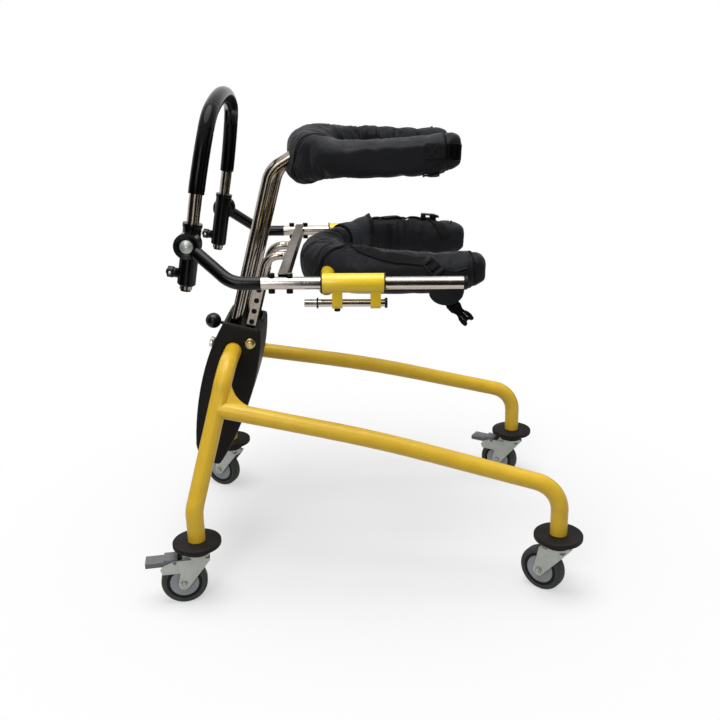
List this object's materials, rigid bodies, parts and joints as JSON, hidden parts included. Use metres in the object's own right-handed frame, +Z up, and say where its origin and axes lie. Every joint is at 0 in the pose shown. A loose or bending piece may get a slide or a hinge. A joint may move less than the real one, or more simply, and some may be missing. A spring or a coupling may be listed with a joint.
{
  "type": "gait trainer",
  "caption": "Upright four-castor walking frame with padded chest and pelvic supports that open to the rear, sliding side clamps and a tilting loop handlebar on a leaning front column.",
  "frame": {"origin": "floor, under the middle of the box over the whole part", "axes": "+X is the walking direction, +Y the user's left, +Z up"},
  "size_m": [0.9477, 0.7068, 1.0774],
  "materials": {
    "frame_yellow": "satin",
    "clamp_yellow": "gloss",
    "black_metal": "satin",
    "black_plastic": "satin",
    "knob_black": "gloss",
    "chrome": "polished",
    "zinc": "satin",
    "bumper": "matte",
    "tyre": "matte",
    "hub": "satin",
    "pedal": "matte",
    "pad": "woven nylon",
    "webbing": "woven",
    "buckle": "satin",
    "grip": "gloss"
  },
  "bodies": {
    "base": {"left_frame": "frame_yellow", "right_frame": "frame_yellow", "castor_sockets": "black_plastic", "bumpers": "bumper", "guide_block": "black_plastic", "cover_left": "black_plastic", "cover_right": "black_plastic", "cover_bolts": "clamp_yellow", "front_bolt": "chrome"},
    "knob": {"ball_knob": "knob_black"},
    "front_left_castor": {"front_left_fork": "zinc", "front_left_axle": "zinc"},
    "front_left_wheel": {"front_left_tyre": "tyre", "front_left_hub": "hub"},
    "front_left_brake": {"front_left_pedal": "pedal"},
    "front_right_castor": {"front_right_fork": "zinc", "front_right_axle": "zinc"},
    "front_right_wheel": {"front_right_tyre": "tyre", "front_right_hub": "hub"},
    "rear_left_castor": {"rear_left_fork": "zinc", "rear_left_axle": "zinc"},
    "rear_left_wheel": {"rear_left_tyre": "tyre", "rear_left_hub": "hub"},
    "rear_right_castor": {"rear_right_fork": "zinc", "rear_right_axle": "zinc"},
    "rear_right_wheel": {"rear_right_tyre": "tyre", "rear_right_hub": "hub"},
    "rear_right_brake": {"rear_right_pedal": "pedal"},
    "chest": {"chest_tubes": "chrome", "chest_pad": "pad", "chest_strap": "webbing", "chest_buckle": "buckle"},
    "pelvic_frame": {"hole_bars": "chrome", "crossbar": "chrome", "side_tubes": "chrome", "side_tube_caps": "black_plastic", "side_tube_bolts": "black_metal"},
    "pelvic_carriage": {"left_clamp": "clamp_yellow", "right_clamp": "clamp_yellow", "clamp_bushes": "black_plastic", "clamp_rods": "chrome", "rod_rings": "black_plastic", "rod_nuts": "chrome", "pelvic_pad": "pad", "pelvic_straps": "webbing", "ladder_buckle": "buckle", "buckle_socket": "buckle", "buckle_plug": "buckle"},
    "arms": {"left_arm": "black_metal", "right_arm": "black_metal", "joint_screws": "chrome"},
    "sleeves": {"left_sleeve": "black_metal", "right_sleeve": "black_metal"},
    "left_lock": {"left_plunger": "knob_black"},
    "right_lock": {"right_plunger": "knob_black"},
    "handlebar": {"handlebar": "chrome", "handlebar_grip": "grip", "handlebar_plugs": "black_plastic"}
  },
  "joints": [
    {"name": "knob_pull", "type": "slide", "parent": "base", "child": "knob", "axis": [0.9613, 0, 0.2756], "range_m": [0, 0.008], "stiffness_N_per_m": 400, "springref_m": -0.004},
    {"name": "front_left_swivel", "type": "hinge", "parent": "base", "child": "front_left_castor", "pos_m": [0.35962, 0.2869, 0.118], "axis": [0, 0, 1], "continuous": true},
    {"name": "front_left_roll", "type": "hinge", "parent": "front_left_castor", "child": "front_left_wheel", "pos_m": [0.3932, 0.29222, 0.05], "axis": [-0.1564, 0.9877, 0], "continuous": true},
    {"name": "front_left_brake_press", "type": "hinge", "parent": "front_left_castor", "child": "front_left_brake", "pos_m": [0.409, 0.29472, 0.106], "axis": [-0.1564, 0.9877, 0], "range_deg": [0, 10]},
    {"name": "front_right_swivel", "type": "hinge", "parent": "base", "child": "front_right_castor", "pos_m": [0.35962, -0.2651, 0.118], "axis": [0, 0, 1], "continuous": true},
    {"name": "front_right_roll", "type": "hinge", "parent": "front_right_castor", "child": "front_right_wheel", "pos_m": [0.39018, -0.28001, 0.05], "axis": [0.4384, 0.8988, 0], "continuous": true},
    {"name": "rear_left_swivel", "type": "hinge", "parent": "base", "child": "rear_left_castor", "pos_m": [-0.42138, 0.3009, 0.118], "axis": [0, 0, 1], "continuous": true},
    {"name": "rear_left_roll", "type": "hinge", "parent": "rear_left_castor", "child": "rear_left_wheel", "pos_m": [-0.39611, 0.27815, 0.05], "axis": [0.6691, 0.7431, 0], "continuous": true},
    {"name": "rear_right_swivel", "type": "hinge", "parent": "base", "child": "rear_right_castor", "pos_m": [-0.42138, -0.2791, 0.118], "axis": [0, 0, 1], "continuous": true},
    {"name": "rear_right_roll", "type": "hinge", "parent": "rear_right_castor", "child": "rear_right_wheel", "pos_m": [-0.39255, -0.29712, 0.05], "axis": [0.5299, 0.848, 0], "continuous": true},
    {"name": "rear_right_brake_press", "type": "hinge", "parent": "rear_right_castor", "child": "rear_right_brake", "pos_m": [-0.37898, -0.3056, 0.106], "axis": [0.5299, 0.848, 0], "range_deg": [0, 10]},
    {"name": "chest_height", "type": "slide", "parent": "base", "child": "chest", "axis": [-0.2756, 0, 0.9613], "range_m": [-0.02, 0.14]},
    {"name": "pelvic_height", "type": "slide", "parent": "base", "child": "pelvic_frame", "axis": [-0.2756, 0, 0.9613], "range_m": [-0.04, 0.04]},
    {"name": "pelvic_depth", "type": "slide", "parent": "pelvic_frame", "child": "pelvic_carriage", "axis": [0.9997, 0, 0.0227], "range_m": [-0.13, 0]},
    {"name": "handle_reach", "type": "slide", "parent": "pelvic_frame", "child": "arms", "axis": [0.9997, 0, 0.0227], "range_m": [0, 0.06]},
    {"name": "handle_tilt", "type": "hinge", "parent": "arms", "child": "sleeves", "pos_m": [0.32712, 0.0109, 0.784], "axis": [0, 1, 0], "range_deg": [-12, 60]},
    {"name": "handle_height", "type": "slide", "parent": "sleeves", "child": "handlebar", "axis": [-0.1908, 0, 0.9816], "range_m": [-0.022, 0.04]},
    {"name": "left_lock_pull", "type": "slide", "parent": "sleeves", "child": "left_lock", "axis": [0.9816, 0, 0.1908], "range_m": [0, 0.006], "stiffness_N_per_m": 400, "springref_m": -0.004},
    {"name": "right_lock_pull", "type": "slide", "parent": "sleeves", "child": "right_lock", "axis": [0.9816, 0, 0.1908], "range_m": [0, 0.006], "stiffness_N_per_m": 400, "springref_m": -0.004}
  ]
}
